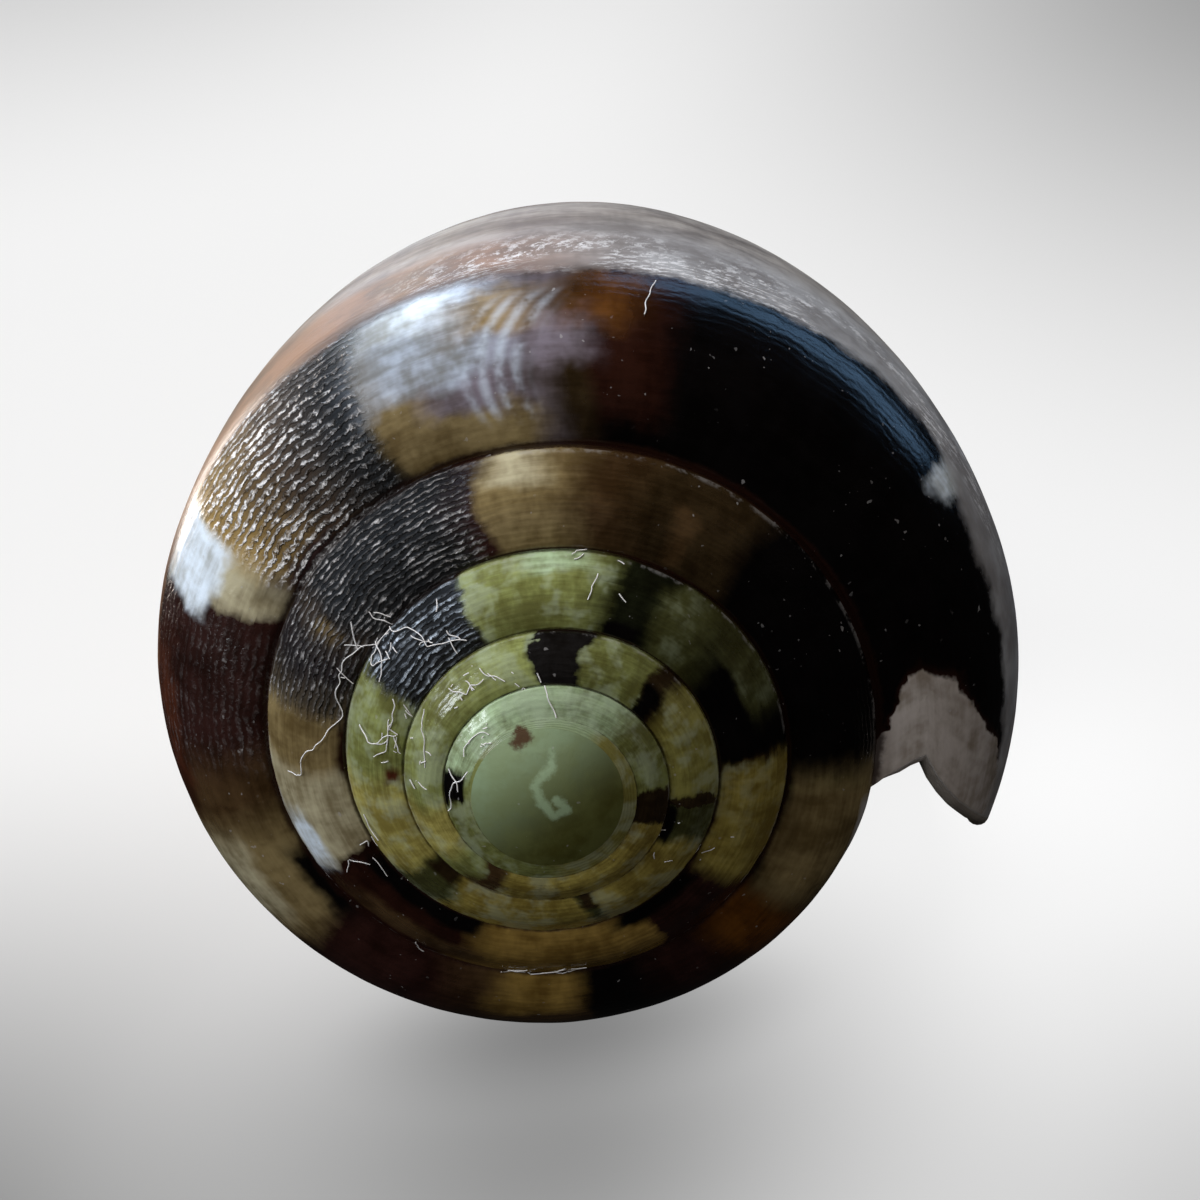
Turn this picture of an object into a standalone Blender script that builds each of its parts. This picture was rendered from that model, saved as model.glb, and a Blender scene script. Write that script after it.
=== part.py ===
"""Cone shell, one hollow solid lying on its side, with its spire towards -Y.

The shell is first built about its own axis, which points along +Z to the apex.
A turn is one revolution: turn 0 is the lip, and turns count back in growth from there.
A place is a position along the outline of the last whorl, in the plane of the axis:
0 at the suture, 1 at the whorl's widest line and 2 at the front end of the body.
Lengths are in units of UNIT until a vertex is made.
"""
import math

import bmesh
import bpy
from mathutils import Matrix, Vector

# Size: radius in metres of the suture where the lip meets the whorl before it.
UNIT = 0.0108

# Growth of the suture spiral: log radius and height as cubics.
GROWTH = (0.308, 0.025, -0.0044)
RISE = (0.361, 0.695, -0.487)
LIP_ANGLE = math.radians(-11.5)

# Arch of a whorl between its sutures, on the spire and on the last whorl.
SPIRE_ARCH = math.radians(58)
LAST_ARCH = math.radians(87)
ARCH_BLEND = (1.06, 0.16)

# Widest line of the last whorl, measured from the suture line.
WIDE_OUT = (0.0175, 0.067, 0.061)
WIDE_DROP = (0.12, 0.314)
WIDE_JOIN = 0.10

# Apex: turn at which the first whorl starts, and the dome inside it.
NUCLEUS_TURN = 5.6
APEX_HEIGHT = 0.535
DOME_RINGS = ((0.72, 0.45), (0.4, 0.85))

# Body below the widest line, and the front end.
BODY_LENGTH = 4.1
BODY_BULGE = 0.545
TIP_AT_LIP = 0.25
TIP_INSIDE = 0.14
LIP_FLARE = 0.06
FLARE_TURN = 0.30
END_ROUNDING = 0.14
END_RINGS = ((0.93, 0.55), (0.7, 0.9))

# Free edge of the lip across the shoulder: place, and the turn that it reaches.
# A notch lies at place 0.2, and the edge runs forward from there.
LIP_EDGE = (
    (0.00, 0.000),
    (0.10, 0.011),
    (0.20, 0.018),
    (0.27, 0.007),
    (0.45, -0.008),
    (0.73, -0.021),
    (1.00, -0.028),
)
# Free edge down the body: a quadratic that bows forward at mid length.
LIP_BOW = (-0.028, -0.100, 0.125)
LIP_REACH = 0.12

# Aperture and the hollow behind it.
WALL = 0.12
WALL_AT_LIP = 0.07
BODY_CLEARANCE = 0.022
LEAST_GAP = 0.012
HOLLOW_START = -0.14
HOLLOW_FULL = 0.05
HOLLOW_END = 0.30
HOLLOW_CLOSING = 0.9

# How the shell lies: direction of down about the axis, and slope of the axis.
REST_DOWN = math.radians(-80.29)
REST_SLOPE = math.radians(11.61)

# Mesh density: columns in a turn, and rows across each stretch.
COLUMNS = 72
SPIRE_ROWS = (0.0, 0.16, 0.5, 0.84, 1.0)
SHOULDER_ROWS = (0.0, 0.1, 0.2, 0.27, 0.45, 0.62, 0.8, 1.0)
BODY_ROWS = (0.05, 0.11, 0.19, 0.28, 0.38, 0.48, 0.58, 0.68, 0.78, 0.88, 0.96, 1.0)
HOLLOW_SHOULDER_ROWS = (0.12, 0.22, 0.34, 0.48, 0.64, 0.82, 1.0)
HOLLOW_BODY_ROWS = (0.06, 0.14, 0.24, 0.36, 0.48, 0.6, 0.72, 0.84, 0.94, 1.0)


def smooth(x):
    x = min(1.0, max(0.0, x))
    return x * x * (3.0 - 2.0 * x)


def suture(turn):
    """Radius and height of the suture line."""
    t = turn - 1.0
    r = math.exp(-(GROWTH[0] * t + GROWTH[1] * t ** 2 + GROWTH[2] * t ** 3))
    h = 1.0 - r
    if t < 0.0:
        return r, RISE[0] * h
    return r, RISE[0] * h + RISE[1] * h ** 2 + RISE[2] * h ** 3


def widest(turn):
    """Outer end of a whorl: its widest line, or its suture where the next whorl covers it."""
    r, z = suture(turn)
    t = 1.0 - turn
    k = smooth(t / WIDE_JOIN)
    out = WIDE_OUT[0] + WIDE_OUT[1] * t + WIDE_OUT[2] * t ** 2
    drop = WIDE_DROP[0] * r + WIDE_DROP[1] * t
    return r * (1.0 + k * out), z - k * drop


def arched(start, end, angle, v):
    """Point on an arch that leaves its inner end level and bends down by an angle."""
    out = math.sin(angle * v) / math.sin(angle)
    down = (1.0 - math.cos(angle * v)) / (1.0 - math.cos(angle))
    return start[0] + (end[0] - start[0]) * out, start[1] + (end[1] - start[1]) * down


def across(turn, v):
    """Whorl outline from its inner suture, v = 0, to its outer end, v = 1."""
    blend = smooth((ARCH_BLEND[0] - turn) / ARCH_BLEND[1])
    angle = SPIRE_ARCH + (LAST_ARCH - SPIRE_ARCH) * blend
    inner = suture(min(turn + 1.0, NUCLEUS_TURN))
    return arched(inner, widest(turn), angle, v)


def body(turn, w):
    """Side of the body from the widest line, w = 0, to the front end, w = 1."""
    r, z = widest(turn)
    e = BODY_BULGE
    fall = (math.sqrt(w * w + e * e) - e) / (math.sqrt(1.0 + e * e) - e)
    tip = TIP_AT_LIP + (TIP_INSIDE - TIP_AT_LIP) * min(1.0, max(0.0, turn))
    near_lip = min(1.15, max(0.0, 1.0 - turn / FLARE_TURN))
    bell = smooth(w / 0.6) * (1.0 - 0.5 * smooth((w - 0.6) / 0.4))
    flare = 1.0 + LIP_FLARE * near_lip ** 2 * bell
    return r * (1.0 - (1.0 - tip) * fall) * flare, z + (-BODY_LENGTH - z) * w


def outline(turn, place):
    return across(turn, place) if place <= 1.0 else body(turn, place - 1.0)


def inset(turn, place, depth):
    """Point of the outline moved into the wall by a depth."""
    r0, z0 = outline(turn, place - 0.03)
    r1, z1 = outline(turn, place + 0.03)
    run = math.hypot(r1 - r0, z1 - z0)
    r, z = outline(turn, place)
    return r + depth * (z1 - z0) / run, z - depth * (r1 - r0) / run


def lip_turn(place):
    """Turn that the free edge of the lip reaches at a place."""
    if place > 1.0:
        w = place - 1.0
        return LIP_BOW[0] + LIP_BOW[1] * w + LIP_BOW[2] * w ** 2
    for (p0, t0), (p1, t1) in zip(LIP_EDGE, LIP_EDGE[1:]):
        if place <= p1:
            return t0 + (t1 - t0) * (place - p0) / (p1 - p0)


def at(turn, point):
    """Position of a point of the outline in the plane of a turn."""
    angle = LIP_ANGLE + 2.0 * math.pi * turn
    return Vector((point[0] * math.cos(angle), point[0] * math.sin(angle), point[1])) * UNIT


def bridge(bm, one, two):
    """Faces between two rows of vertices, with triangles where the rows share a vertex."""
    for corners in zip(one, one[1:], two[1:], two):
        ring = list(dict.fromkeys(corners))
        if len(ring) > 2:
            bm.faces.new(ring)


def stitch(bm, one, two):
    """Triangles between two rows with unlike counts that share their first vertex."""
    i = j = 0
    while i < len(one) - 1 or j < len(two) - 1:
        if j == len(two) - 1:
            move_one = True
        elif i == len(one) - 1:
            move_one = False
        else:
            next_one = (one[i + 1].co - two[j].co).length
            next_two = (two[j + 1].co - one[i].co).length
            move_one = next_one < next_two
        third = one[i + 1] if move_one else two[j + 1]
        if one[i] is not two[j]:
            bm.faces.new((one[i], third, two[j]))
        if move_one:
            i += 1
        else:
            j += 1


def add_spire(bm, seam):
    """Whorls from the lip's junction to the nucleus. Returns the row at the junction."""
    last = int(NUCLEUS_TURN * COLUMNS)
    junction = previous = None
    start = []
    for i in range(COLUMNS, last + 1):
        turn = i / COLUMNS
        if i + COLUMNS <= last:
            inner = seam[i + COLUMNS]
        elif i < last:
            inner = bm.verts.new(at(turn, suture(NUCLEUS_TURN)))
        else:
            inner = seam[last]
        if i + COLUMNS >= last:
            start.append(inner)
        row = [inner]
        if i < last:
            row += [bm.verts.new(at(turn, across(turn, v))) for v in SPIRE_ROWS[1:-1]]
            row.append(seam[i])
        else:
            row = row * len(SPIRE_ROWS)
        if previous:
            bridge(bm, previous, row)
        else:
            junction = row
        previous = row
    add_nucleus(bm, start[:-1])
    return junction


def add_nucleus(bm, ring):
    """Worn dome inside the start of the first whorl."""
    base = suture(NUCLEUS_TURN)[1]
    for share, lift in DOME_RINGS:
        height = (base + (APEX_HEIGHT - base) * lift) * UNIT
        inner = [bm.verts.new(Vector((v.co.x * share, v.co.y * share, height))) for v in ring]
        bridge(bm, ring + ring[:1], inner + inner[:1])
        ring = inner
    apex = bm.verts.new(Vector((0.0, 0.0, APEX_HEIGHT * UNIT)))
    for a, b in zip(ring, ring[1:] + ring[:1]):
        bm.faces.new((a, b, apex))


def last_whorl_row(bm, turn, first, places, tip):
    """Vertices from the suture to the front end, drawn out to the lip's edge near it."""
    pull = smooth(1.0 - turn / LIP_REACH)
    row = [first]
    for place in places:
        moved = turn + pull * lip_turn(place)
        row.append(bm.verts.new(at(moved, outline(moved, place))))
    r, z = outline(moved, 2.0)
    for share, drop in END_RINGS:
        row.append(bm.verts.new(at(moved, (r * share, z - END_ROUNDING * drop))))
    return row + [tip]


def build_blank(collection):
    """Closed outer form: spire, last whorl, front end, and a flat face at the lip."""
    bm = bmesh.new()
    last = int(NUCLEUS_TURN * COLUMNS)
    seam = {i: bm.verts.new(at(i / COLUMNS, suture(i / COLUMNS))) for i in range(COLUMNS, last + 1)}
    junction = add_spire(bm, seam)

    tip = bm.verts.new(Vector((0.0, 0.0, -(BODY_LENGTH + END_ROUNDING) * UNIT)))
    body_places = [1.0 + w for w in BODY_ROWS]
    places = list(SHOULDER_ROWS[1:]) + body_places
    rows = [last_whorl_row(bm, i / COLUMNS, seam[i + COLUMNS], places, tip) for i in range(COLUMNS)]
    for one, two in zip(rows, rows[1:]):
        bridge(bm, one, two)

    # One turn back from the lip the body goes on under it, from the junction down.
    under = last_whorl_row(bm, 1.0, seam[COLUMNS], body_places, tip)
    shoulder = len(SHOULDER_ROWS)
    bridge(bm, rows[-1][shoulder - 1:], under)
    stitch(bm, rows[-1][:shoulder], junction)

    # Flat face at the lip, from its free edge to the body.
    lip = rows[0]
    for a, b in zip(lip[1:], lip[2:shoulder]):
        bm.faces.new((a, b, seam[COLUMNS]))
    bridge(bm, lip[shoulder - 1:], under)
    return finish(bm, "cone_shell", collection)


def hollow_section(turn):
    """Crescent between the inside of the wall and the body, as outer and inner points."""
    depth = WALL_AT_LIP + (WALL - WALL_AT_LIP) * smooth((turn + 0.05) / 0.2)
    closing = smooth((turn - HOLLOW_FULL) / (HOLLOW_END - HOLLOW_FULL))
    keep = 1.0 - HOLLOW_CLOSING * closing
    top = inset(turn, HOLLOW_SHOULDER_ROWS[0], depth)[1]
    low = body(turn, 0.0)[1]
    wide = body(turn + 1.0, 0.0)[1]
    outer, inner = [], []
    places = list(HOLLOW_SHOULDER_ROWS) + [1.0 + w for w in HOLLOW_BODY_ROWS]
    for k, place in enumerate(places):
        if place <= 1.0:
            z_in = top + (low - top) * k / (len(HOLLOW_SHOULDER_ROWS) - 1)
        else:
            z_in = body(turn, place - 1.0)[1]
        w = min(1.0, max(0.0, (wide - z_in) / (wide + BODY_LENGTH)))
        r_in = body(turn + 1.0, w)[0] + BODY_CLEARANCE
        r_out, z_out = inset(turn, min(place, 1.97), depth)
        r_out = r_in + max(LEAST_GAP, (r_out - r_in) * keep)
        outer.append((r_out, z_in + (z_out - z_in) * keep))
        inner.append((r_in, z_in))
    below = -BODY_LENGTH - 2.0 * END_ROUNDING
    outer.append((outer[-1][0], below))
    inner.append((inner[-1][0], below))
    return outer, inner


def build_hollow(collection):
    """Cutter for the aperture, open at the lip and at the front end."""
    bm = bmesh.new()
    columns = range(round(HOLLOW_START * COLUMNS), round(HOLLOW_END * COLUMNS) + 1)
    loops = []
    for i in columns:
        outer, inner = hollow_section(i / COLUMNS)
        loops.append([bm.verts.new(at(i / COLUMNS, point)) for point in outer + inner[::-1]])
    for one, two in zip(loops, loops[1:]):
        bridge(bm, one + one[:1], two + two[:1])
    for loop in (loops[0], loops[-1]):
        half = len(loop) // 2
        bridge(bm, loop[:half], loop[:half - 1:-1])
    return finish(bm, "hollow_cutter", collection)


def finish(bm, name, collection):
    bmesh.ops.recalc_face_normals(bm, faces=bm.faces)
    mesh = bpy.data.meshes.new(name)
    bm.to_mesh(mesh)
    bm.free()
    mesh.shade_smooth()
    obj = bpy.data.objects.new(name, mesh)
    collection.objects.link(obj)
    return obj


def lie_down(shell, others):
    """Turn all onto the resting side, with the bottom centre of the shell's box at the origin."""
    spin = Matrix.Rotation(-math.pi / 2.0 - REST_DOWN, 4, "Z")
    tip_over = Matrix.Rotation(math.pi / 2.0 - REST_SLOPE, 4, "X")
    for obj in [shell] + others:
        obj.data.transform(tip_over @ spin)
    points = [v.co for v in shell.data.vertices]
    low = Vector([min(p[k] for p in points) for k in range(3)])
    high = Vector([max(p[k] for p in points) for k in range(3)])
    move = Vector((-(low.x + high.x) / 2.0, -(low.y + high.y) / 2.0, -low.z))
    for obj in [shell] + others:
        obj.data.transform(Matrix.Translation(move))


def shell_material():
    material = bpy.data.materials.new("shell")
    material.use_nodes = True
    surface = material.node_tree.nodes["Principled BSDF"]
    surface.inputs["Base Color"].default_value = (0.13, 0.07, 0.04, 1.0)
    surface.inputs["Roughness"].default_value = 0.35
    surface.inputs["Metallic"].default_value = 0.0
    return material


def new_collection(name):
    collection = bpy.data.collections.new(name)
    bpy.context.scene.collection.children.link(collection)
    return collection


def main():
    for obj in list(bpy.data.objects):
        bpy.data.objects.remove(obj)
    shell = build_blank(new_collection("Cone shell"))
    hollow = build_hollow(new_collection("Cutters"))
    hollow.hide_render = True
    hollow.display_type = "WIRE"
    lie_down(shell, [hollow])

    aperture = shell.modifiers.new("Aperture", "BOOLEAN")
    aperture.operation = "DIFFERENCE"
    aperture.solver = "EXACT"
    aperture.object = hollow
    shell.data.materials.append(shell_material())


main()
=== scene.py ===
# %% [markdown]
# # A cone shell, turn by turn
# The object is one sea snail's shell, lying on its side with the spire towards
# the viewer. It is one wall of shell rolled up round an axis, so it is made as
# one piece. First the packed solid is loaded: it fixes the size and the place.

# %% Load the packed solid
import math
import random
from functools import partialmethod

import bmesh
import bpy
import mathutils.noise
from mathutils import Matrix, Vector
from mathutils.bvhtree import BVHTree


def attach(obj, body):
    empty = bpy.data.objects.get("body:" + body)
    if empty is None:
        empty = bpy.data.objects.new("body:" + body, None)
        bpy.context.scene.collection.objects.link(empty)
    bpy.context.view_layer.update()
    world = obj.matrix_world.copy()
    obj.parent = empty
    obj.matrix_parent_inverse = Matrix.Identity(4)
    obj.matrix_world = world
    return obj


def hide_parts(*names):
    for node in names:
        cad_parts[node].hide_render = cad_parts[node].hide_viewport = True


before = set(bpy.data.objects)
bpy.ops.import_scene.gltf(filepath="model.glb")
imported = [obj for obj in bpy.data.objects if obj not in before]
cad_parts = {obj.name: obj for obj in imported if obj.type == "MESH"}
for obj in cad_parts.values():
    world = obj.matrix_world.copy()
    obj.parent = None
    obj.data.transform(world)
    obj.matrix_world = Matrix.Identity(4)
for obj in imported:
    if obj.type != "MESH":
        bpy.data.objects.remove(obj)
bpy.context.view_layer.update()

# %% [markdown]
# ## Sums made of nodes
# A shell could be sculpted, or turned with a Screw modifier, but a screw keeps
# its outline's size, and a shell's outline shrinks with every turn. It follows a
# rule, so it is made with Geometry Nodes, and its colours follow the same turns,
# so they are shader nodes. Both need long sums. Wiring each Math node by hand
# hides the sum, so a Wire stands for one value in a node tree, and + - * /
# between wires add the Math nodes. Python calls a class's __add__ for a +, so
# each sign is tied to one kind of sum.

# %% A wire that can be added and multiplied
def plug(value, socket):
    """Link a wire to a socket, or type a plain value into it."""
    if isinstance(value, Wire):
        value.tree.links.new(value.source, socket)
    else:
        socket.default_value = value


def add(tree, kind, *inputs, out=0, **settings):
    """Add a node, set it up, feed it (socket, value) pairs, and return the wire that leaves it."""
    node = tree.nodes.new(kind)
    for name, value in settings.items():
        setattr(node, name, value)
    for socket, value in inputs:
        plug(value, node.inputs[socket])
    return Wire(tree, node.outputs[out])


class Wire:
    def __init__(self, tree, source):
        self.tree = tree
        self.source = source

    def calc(self, operation, *others):
        return add(self.tree, "ShaderNodeMath", *enumerate((self, *others)), operation=operation)

    __add__ = __radd__ = partialmethod(calc, "ADD")
    __mul__ = __rmul__ = partialmethod(calc, "MULTIPLY")
    __sub__ = partialmethod(calc, "SUBTRACT")
    __rsub__ = partialmethod(calc, "MULTIPLY_ADD", -1.0)
    __neg__ = partialmethod(calc, "MULTIPLY", -1.0)
    __truediv__ = partialmethod(calc, "DIVIDE")
    sin, cos = partialmethod(calc, "SINE"), partialmethod(calc, "COSINE")
    root, exp = partialmethod(calc, "SQRT"), partialmethod(calc, "EXPONENT")
    floor, magnitude = partialmethod(calc, "FLOOR"), partialmethod(calc, "ABSOLUTE")
    at_least, at_most = partialmethod(calc, "MAXIMUM"), partialmethod(calc, "MINIMUM")
    above = partialmethod(calc, "GREATER_THAN")


print("sums a wire can do:", sum(isinstance(value, partialmethod) for value in vars(Wire).values()))

# %% [markdown]
# A soft step between two values, a mix, and the usual work on vectors come back
# again and again, so each gets a short name. Nearly every mask on the shell is
# a few soft steps multiplied together.

# %% Ramps, mixes and vectors
def tree_of(values):
    """The node tree that the wires among some values belong to."""
    return next(value.tree for value in values if isinstance(value, Wire))


def ramp(wire, low, high):
    """0 below low, 1 above high, with an S curve between. Low may be above high."""
    return add(wire.tree, "ShaderNodeMapRange", ("Value", wire), ("From Min", low),
               ("From Max", high), interpolation_type="SMOOTHSTEP")


def clamp(wire, low=0.0, high=1.0):
    return wire.at_least(low).at_most(high)


def mix(share, one, two):
    """One where the share is 0, two where it is 1."""
    return add(share.tree, "ShaderNodeMix", (0, share), (2, one), (3, two))


def join(*parts):
    return add(tree_of(parts), "ShaderNodeCombineXYZ", *enumerate(parts))


def outputs_of(wire):
    """Every output of the node that a wire leaves."""
    return [Wire(wire.tree, out) for out in wire.source.node.outputs]


def split(wire):
    return outputs_of(add(wire.tree, "ShaderNodeSeparateXYZ", (0, wire)))


def vector(operation, one, two=(0.0, 0.0, 0.0)):
    return add(one.tree, "ShaderNodeVectorMath", (0, one),
               ("Scale" if operation == "SCALE" else 1, two), operation=operation,
               out="Value" if operation in ("LENGTH", "DOT_PRODUCT") else "Vector")


helpers = (ramp, clamp, mix, join, split, vector)
print("helpers:", ", ".join(helper.__name__ for helper in helpers))

# %% [markdown]
# A group keeps a rule in one place, with named inputs for its sizes. Here a
# rule is written as a function of wires. The line above it makes the group and
# turns the function's name into a way to place that group in any tree.

# %% Node groups with named inputs
FORM, LOOK = "GeometryNodeTree", "ShaderNodeTree"
FLOAT, POINT, COLOUR = "NodeSocketFloat", "NodeSocketVector", "NodeSocketColor"
GEOMETRY, MATERIAL = "NodeSocketGeometry", "NodeSocketMaterial"
ORIGIN = (0.0, 0.0, 0.0)
COIL = {"Turn": 0.0, "Place": 0.0}


def socket_for(value):
    """The kind of socket a starting value needs. A kind given by name has no value."""
    if isinstance(value, str):
        return value
    return {float: FLOAT, int: "NodeSocketInt"}.get(type(value)) or {3: POINT, 4: COLOUR}[len(value)]


def node_group(kind, name, inputs, outputs):
    """Make a node group out of a rule. The rule's name then places the group in a tree."""
    def build(rule):
        group = bpy.data.node_groups.new(name, kind)
        for label, value in inputs.items():
            socket = group.interface.new_socket(label, in_out="INPUT", socket_type=socket_for(value))
            if not isinstance(value, str):
                socket.default_value = value
        for label, socket_type in outputs.items():
            group.interface.new_socket(label, in_out="OUTPUT", socket_type=socket_type)
        given = outputs_of(add(group, "NodeGroupInput"))
        sink = group.nodes.new("NodeGroupOutput")
        results = rule(*given[:len(inputs)])
        for result, socket in zip(results if isinstance(results, tuple) else (results,), sink.inputs):
            plug(result, socket)
        print(f"{name}: {len(group.nodes)} nodes")

        def place(*values, tree=None):
            found = outputs_of(add(tree or tree_of(values), kind.replace("Tree", "Group"),
                                   *zip(inputs, values), node_tree=group))
            return found[0] if len(found) == 1 else found

        place.group = group
        return place
    return build


print("sockets for 1.0, 1 and a point:", socket_for(1.0), socket_for(1), socket_for(ORIGIN))

# %% [markdown]
# ## The rule of the shell
# A snail adds to the lip of its shell and grows as it does so, so the seam
# between the whorls is a spiral that widens by nearly the same share each turn.
# Everything below is measured by two numbers: the turn, 0 at the lip and
# counted back from there, and the place, 0 at the seam, 1 at the widest line
# and 2 at the front end. Lengths are in units of the seam's radius at the lip.

# %% The seam and the widest line
UNIT = 0.0108
GROWTH = (0.308, 0.025, -0.0044)
RISE = (0.361, 0.695, -0.487)
WIDE_OUT = (0.0175, 0.067, 0.061)
WIDE_DROP = (0.12, 0.314, 0.0)
WIDE_JOIN = 0.10
LINE = {"Radius": FLOAT, "Height": FLOAT}


@node_group(FORM, "Seam line", {"Turn": 1.0, "Growth": GROWTH, "Rise": RISE}, LINE)
def seam(turn, growth, rise):
    t = turn - 1.0
    g1, g2, g3 = split(growth)
    r = (-(((g3 * t + g2) * t + g1) * t)).exp()
    h = 1.0 - r
    a, b, c = split(rise)
    past_lip = t.above(0.0)
    return r, h * a + past_lip * h * h * (b + c * h)


@node_group(FORM, "Widest line", {
    "Turn": 1.0, "Out": WIDE_OUT, "Drop": WIDE_DROP, "Join": WIDE_JOIN}, LINE)
def widest(turn, out, drop, joined):
    r, z = seam(turn)
    t = 1.0 - turn
    k = ramp(t / joined, 0.0, 1.0)
    a, b, c = split(out)
    d, e, _ = split(drop)
    return r * (k * ((c * t + b) * t + a) + 1.0), z - k * (d * r + e * t)


# %% [markdown]
# A cut through the axis shows the outline of each whorl: an arch from the seam
# to the widest line, then the long side of the body, which bulges a little and
# narrows to the front end. Near the lip the side flares out.

# %% Outline of a whorl
SPIRE_ARCH, APEX_ARCH, LAST_ARCH = math.radians(58), math.radians(36), math.radians(87)
SPIRE_TURNS = (1.5, 4.5)      # the arch flattens between these turns
ARCH_BLEND = (1.06, 0.16)     # where the last whorl's arch starts, and over how much of a turn
NUCLEUS_TURN = 5.6
BODY_LENGTH = 4.1
BODY_BULGE = 0.545
TIP_AT_LIP, TIP_INSIDE = 0.25, 0.14
LIP_FLARE = 0.06
FLARE_TURN = 0.30
FLARE_PEAK = 0.6              # share of the side where the flare is widest
SLOPE_STEP = 0.03             # step in place over which the outline's slope is taken


@node_group(FORM, "Whorl outline", {
    **COIL, "Body length": BODY_LENGTH, "Bulge": BODY_BULGE,
    "Flare": LIP_FLARE, "Nucleus turn": NUCLEUS_TURN}, LINE)
def outline(turn, place, length, bulge, flare, nucleus):
    r1, z1 = widest(turn)
    r0, z0 = seam((turn + 1.0).at_most(nucleus))

    v = place.at_most(1.0)
    spire = mix(ramp(turn, *SPIRE_TURNS), SPIRE_ARCH, APEX_ARCH)
    angle = mix(ramp((ARCH_BLEND[0] - turn) / ARCH_BLEND[1], 0.0, 1.0), spire, LAST_ARCH)
    out = (angle * v).sin() / angle.sin()
    down = (1.0 - (angle * v).cos()) / (1.0 - angle.cos())
    arch_r, arch_z = r0 + (r1 - r0) * out, z0 + (z1 - z0) * down

    w = (place - 1.0).at_least(0.0)
    fall = (w * w + bulge * bulge).root() - bulge
    fall = fall / ((bulge * bulge + 1.0).root() - bulge)
    tip = mix(clamp(turn), TIP_AT_LIP, TIP_INSIDE)
    near_lip = clamp(1.0 - turn / FLARE_TURN, 0.0, 1.15)
    bell = ramp(w, 0.0, FLARE_PEAK) * (1.0 - ramp(w, FLARE_PEAK, 1.0) * 0.5)
    side_r = r1 * (1.0 - (1.0 - tip) * fall) * (flare * near_lip * near_lip * bell + 1.0)
    side_z = z1 - (z1 + length) * w

    beyond = place.above(1.0)
    return mix(beyond, arch_r, side_r), mix(beyond, arch_z, side_z)


@node_group(FORM, "Outline at a depth", {**COIL, "Depth": 0.0}, LINE)
def offset(turn, place, depth):
    before = outline(turn, place - SLOPE_STEP)
    after = outline(turn, place + SLOPE_STEP)
    r, z = outline(turn, place)
    dr, dz = after[0] - before[0], after[1] - before[1]
    run = (dr * dr + dz * dz).root()
    return r + depth * dz / run, z - depth * dr / run


# %% [markdown]
# The lip isn't a straight cut. Where it starts at the seam it is drawn back in
# a shallow bay, then it steps forward at a chipped notch and runs out to a
# point at the shoulder. A Float Curve holds that free edge, and the columns of
# the mesh near the lip are pulled to it.

# %% The free edge of the lip
LIP_ANGLE = math.radians(-11.5)
LIP_REACH = 0.12
LIP_SPAN = 0.2
LIP_EDGE = (
    # place, and the turn of the edge there
    (0.0, 0.0), (0.05, 0.007), (0.12, 0.0135), (0.19, 0.0185), (0.215, 0.018),
    (0.245, 0.0095), (0.275, 0.0075), (0.3, 0.004), (0.4, -0.0045), (0.55, -0.013),
    (0.73, -0.0205), (0.86, -0.027), (1.0, -0.028), (1.1, -0.036), (1.25, -0.045),
    (1.4, -0.048), (1.55, -0.045), (1.75, -0.033), (1.9, -0.017), (2.0, -0.003),
)


def through_points(wire, points, **look):
    """Read a Float Curve that runs through the points."""
    height = add(wire.tree, "ShaderNodeFloatCurve", ("Value", wire))
    mapping = height.source.node.mapping
    marks = mapping.curves[0].points
    while len(marks) < len(points):
        marks.new(0.5, 0.5)
    for mark, point in zip(marks, points):
        mark.location = point
        for name, value in look.items():
            setattr(mark, name, value)
    mapping.update()
    return height


@node_group(FORM, "Pull to the lip", {**COIL, "Reach": LIP_REACH}, {"Turn": FLOAT})
def to_lip(turn, place, reach):
    edge = through_points(place / 2.0, [(p / 2.0, 0.5 + t / LIP_SPAN) for p, t in LIP_EDGE],
                          handle_type="VECTOR")
    return turn + ramp(turn / reach, 1.0, 0.0) * ((edge - 0.5) * LIP_SPAN)


@node_group(FORM, "Point on a turn", {"Turn": 0.0, "Radius": 1.0, "Height": 0.0}, {"Point": POINT})
def point_at(turn, radius, height):
    angle = turn * math.tau + LIP_ANGLE
    return join(radius * angle.cos(), radius * angle.sin(), height)


# %% [markdown]
# The outer skin isn't perfectly smooth. Each whorl swells a little between its
# seams, the seam is a narrow furrow with a broken edge, and the growth lines
# leave low waves. These are real relief, so they are in the mesh, while the
# fine threads come later as bump. At the apex the whorls melt into a worn cap.

# %% The outer skin
FURROW = 0.012
FURROW_SHRINK = -0.31         # how fast the furrow shrinks, turn by turn
SWELL = 0.006
GROWTH_WAVE = 0.0035
GROWTH_LINES = 34.0           # waves in a turn
RIM = 0.007
CHIPS = 60.0                  # chips in a turn
CAP_TOP, CAP_DROP = 0.535, 1.25
CAP_TURNS = (4.3, 5.6)        # the whorls melt into the cap between these turns


def noise(where, scale, detail=2.0, rough=0.5):
    return add(where.tree, "ShaderNodeTexNoise", ("Vector", where), ("Scale", scale),
               ("Detail", detail), ("Roughness", rough))


def furrow_depth(turn):
    """Share of the full furrow: it is gone at the apex."""
    return ((turn - 1.0) * FURROW_SHRINK).exp() * ramp(turn, 5.5, 4.4)


def cap_height(radius):
    return CAP_TOP - radius * radius * CAP_DROP


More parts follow.
